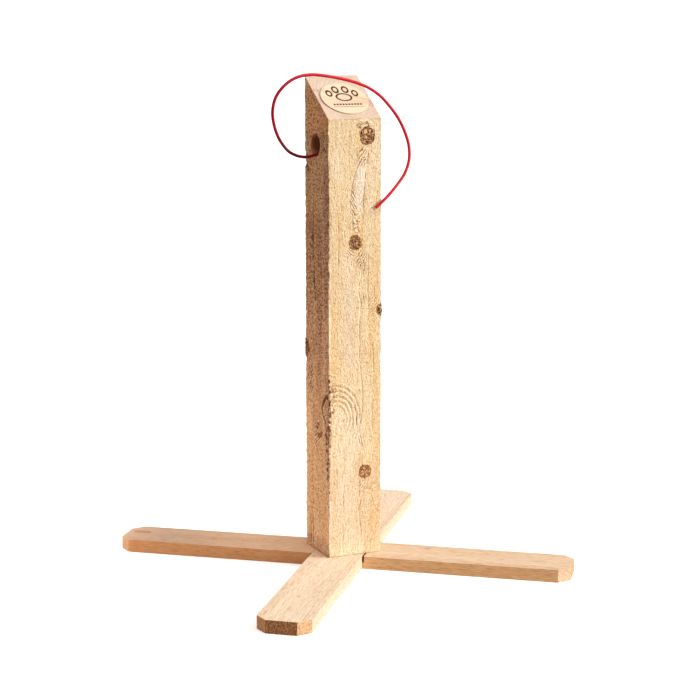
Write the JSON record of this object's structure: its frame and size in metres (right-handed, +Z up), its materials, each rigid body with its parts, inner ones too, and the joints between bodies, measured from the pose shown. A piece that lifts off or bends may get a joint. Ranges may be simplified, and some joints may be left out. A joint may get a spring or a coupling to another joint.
{
  "type": "cat scratching post",
  "caption": "Square rough-sawn timber post with a slanted top, standing on a flat half-lapped cross of boards, with a springy coated wire looping out of a hole near the top.",
  "frame": {"origin": "middle of the cross at floor level, on the post's own upright axis", "axes": "+Z up; +X and +Y are square to the post's side faces, -Y being its front, under the low edge of the slanted top, and -X its left face, which the wire comes out of"},
  "size_m": [0.6618, 0.6618, 0.841],
  "materials": {
    "sawn_cedar": "rough-sawn, unfinished, fibrous, with knots and small checks",
    "planed_cedar": "planed, unfinished, matte",
    "plaque_wood": "sanded smooth, with a burnt-in mark",
    "screw_steel": "yellow zinc plated",
    "wire_jacket": "extruded, soft gloss, red",
    "wire_core": "drawn spring steel, bare at the cut end"
  },
  "bodies": {
    "stand": {"post": "sawn_cedar", "upper_cross_board": "planed_cedar", "lower_cross_board": "planed_cedar", "top_plaque": "plaque_wood", "base_screw_right": "screw_steel", "base_screw_back": "screw_steel", "base_screw_left": "screw_steel", "base_screw_front": "screw_steel", "wire_jacket_root": "wire_jacket", "wire_core_root": "wire_core"},
    "teaser": {"wire_jacket_loop": "wire_jacket", "wire_core_loop": "wire_core"}
  },
  "joints": [
    {"name": "wire_flex", "type": "hinge", "parent": "stand", "child": "teaser", "pos_m": [-0.0487, 0.001, 0.7062], "axis": [0, -1, 0], "range_deg": [0, 20], "stiffness_Nm_per_rad": 1.2, "springref_deg": -2.86}
  ]
}
